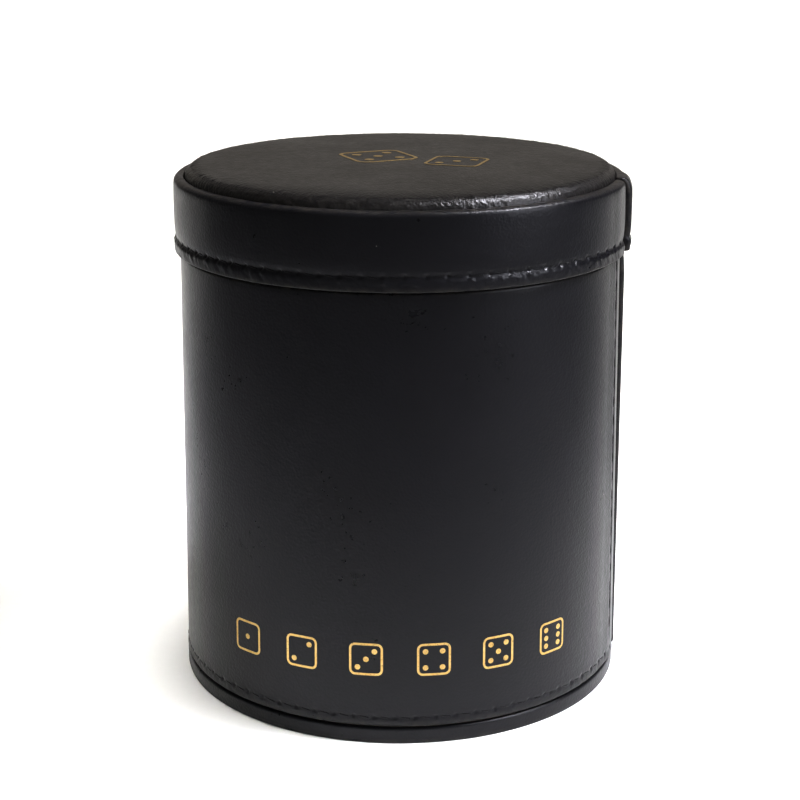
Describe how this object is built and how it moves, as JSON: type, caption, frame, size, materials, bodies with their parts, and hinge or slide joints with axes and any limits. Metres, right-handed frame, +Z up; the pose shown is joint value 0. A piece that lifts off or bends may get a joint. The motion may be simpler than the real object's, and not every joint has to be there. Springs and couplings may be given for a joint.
{
  "type": "lidded dice cup",
  "caption": "Round leather-covered dice cup with a stitched hem, an upright side seam and a padded lift-off lid.",
  "frame": {"origin": "centre of the underside, on the cup's axis", "axes": "+Z up along the cup's axis, -Y towards the decorated front, upright seams near +X"},
  "size_m": [0.0932, 0.0924, 0.1069],
  "materials": {
    "black_leather": "smooth semi-gloss",
    "grey_board": "matte",
    "backing_cloth": "matte",
    "black_thread": "waxed satin",
    "flannel": "brushed matte",
    "foam": "open-cell matte",
    "gold_foil": "hot-stamped"
  },
  "bodies": {
    "cup": {"base_cover": "black_leather", "base_board": "grey_board", "core_tube": "grey_board", "cup_outer_wrap": "black_leather", "cup_seam_backing": "backing_cloth", "cup_seam_thread_front": "black_thread", "cup_seam_thread_rear": "black_thread", "cup_hem_thread": "black_thread", "neck_collar": "grey_board", "neck_wrap": "black_leather", "wall_lining": "flannel", "floor_pad": "foam", "floor_lining": "flannel", "cup_foil_motif": "gold_foil"},
    "lid": {"lid_side_band": "black_leather", "lid_hem_thread": "black_thread", "lid_seam_backing": "backing_cloth", "lid_ring": "grey_board", "lid_inner_ring": "grey_board", "lid_skirt_lining": "flannel", "lid_ceiling_board": "grey_board", "lid_ceiling_lining": "flannel", "lid_top_board": "grey_board", "lid_foam_pad": "foam", "lid_top_cover": "black_leather", "lid_foil_motif": "gold_foil"}
  },
  "joints": [
    {"name": "lid_lift", "type": "slide", "parent": "cup", "child": "lid", "axis": [0, 0, 1], "range_m": [0, 0.08]}
  ]
}
